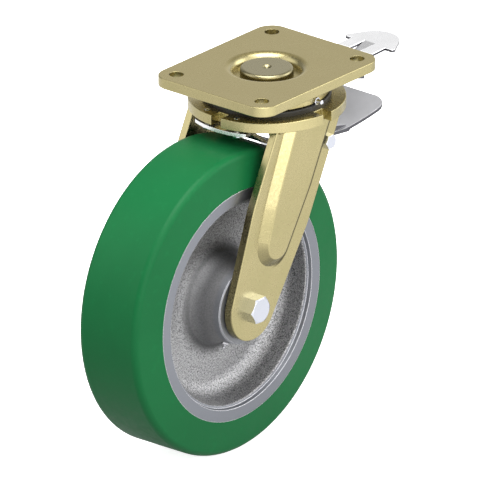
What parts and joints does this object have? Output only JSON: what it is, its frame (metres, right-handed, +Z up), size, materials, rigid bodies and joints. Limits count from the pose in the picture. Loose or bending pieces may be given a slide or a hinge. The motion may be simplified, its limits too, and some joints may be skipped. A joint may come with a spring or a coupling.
{
  "type": "swivel castor",
  "caption": "Heavy-duty swivel castor with a top plate, pressed steel fork, green polyurethane wheel on a cast rim, and a pedal brake.",
  "frame": {"origin": "the swivel axis on the top face of the mounting plate, at the middle of its bolt holes", "axes": "+Z up, against the vehicle; +X the leading side, where the pedals are; the axle lies along Y, behind and below the origin"},
  "size_m": [0.417, 0.1498, 0.355],
  "materials": {
    "plate_zinc": "yellow chromated zinc, satin",
    "bright_zinc": "bright zinc, satin",
    "bearing_steel": "ground bearing steel",
    "black_seal": "matt rubber",
    "cast_rim": "sand cast, machined at the rim",
    "green_tread": "smooth cast polyurethane"
  },
  "bodies": {
    "mounting": {"top_plate": "plate_zinc", "king_pin": "plate_zinc", "king_pin_nut": "bright_zinc", "king_pin_washer": "bright_zinc", "split_pin": "bright_zinc", "bearing_cover": "plate_zinc", "swivel_grease_nipple": "bright_zinc", "thrust_race_upper": "bearing_steel", "taper_cone": "bearing_steel"},
    "swivel_balls": {"thrust_balls": "bearing_steel", "thrust_cage": "bearing_steel"},
    "taper_roller_set": {"taper_rollers": "bearing_steel", "taper_cage": "bearing_steel"},
    "fork": {"fork_crown": "plate_zinc", "fork_leg_right": "plate_zinc", "fork_leg_left": "plate_zinc", "thrust_race_lower": "bearing_steel", "dust_seal": "black_seal", "taper_cup": "bearing_steel", "leaf_screws": "bright_zinc", "release_bracket": "bright_zinc", "release_pin": "bright_zinc", "brake_pivot_bolt": "bright_zinc", "brake_pivot_washer": "bright_zinc", "brake_pivot_nut": "bright_zinc", "axle_bolt": "bright_zinc", "axle_washer": "bright_zinc", "axle_nut": "bright_zinc", "axle_tube": "bearing_steel", "inner_spacer": "bearing_steel", "outer_spacers": "bearing_steel", "bearing_inner_left": "bearing_steel", "bearing_inner_right": "bearing_steel"},
    "wheel": {"wheel_rim": "cast_rim", "tread": "green_tread", "hub_grease_nipple": "bright_zinc", "bearing_outer_left": "bearing_steel", "bearing_outer_right": "bearing_steel", "bearing_shields": "bearing_steel", "circlips": "bearing_steel"},
    "wheel_balls": {"bearing_balls_left": "bearing_steel", "bearing_balls_right": "bearing_steel"},
    "brake_lever": {"brake_pedal": "bright_zinc"},
    "brake_shoe": {"brake_leaf": "bright_zinc"},
    "release_lever": {"release_pedal": "bright_zinc"}
  },
  "joints": [
    {"name": "swivel", "type": "hinge", "parent": "mounting", "child": "fork", "pos_m": [0, 0, -0.019], "axis": [0, 0, 1], "continuous": true},
    {"name": "swivel_ball_orbit", "type": "hinge", "parent": "mounting", "child": "swivel_balls", "pos_m": [0, 0, -0.019], "axis": [0, 0, 1], "continuous": true},
    {"name": "taper_roller_orbit", "type": "hinge", "parent": "mounting", "child": "taper_roller_set", "pos_m": [0, 0, -0.038], "axis": [0, 0, 1], "continuous": true},
    {"name": "wheel_spin", "type": "hinge", "parent": "fork", "child": "wheel", "pos_m": [-0.085, 0, -0.205], "axis": [0, 1, 0], "continuous": true},
    {"name": "wheel_ball_orbit", "type": "hinge", "parent": "fork", "child": "wheel_balls", "pos_m": [-0.085, 0, -0.205], "axis": [0, 1, 0], "continuous": true},
    {"name": "brake_pedal_press", "type": "hinge", "parent": "fork", "child": "brake_lever", "pos_m": [0.0235, 0, -0.0684], "axis": [0, 1, 0], "range_deg": [0, 25]},
    {"name": "brake_leaf_rock", "type": "hinge", "parent": "fork", "child": "brake_shoe", "pos_m": [-0.065, 0, -0.04175], "axis": [0, 1, 0], "range_deg": [0, 3]},
    {"name": "release_pedal_rock", "type": "hinge", "parent": "fork", "child": "release_lever", "pos_m": [0.058, 0, -0.055], "axis": [0, 1, 0], "range_deg": [-8, 0]}
  ],
  "couplings": [
    {"joint": "swivel_ball_orbit", "follows": "swivel", "ratio": 0.5},
    {"joint": "taper_roller_orbit", "follows": "swivel", "ratio": 0.565},
    {"joint": "wheel_ball_orbit", "follows": "wheel_spin", "ratio": 0.603},
    {"joint": "brake_leaf_rock", "follows": "brake_pedal_press", "ratio": 0.12},
    {"joint": "release_pedal_rock", "follows": "brake_pedal_press", "ratio": -0.32}
  ]
}
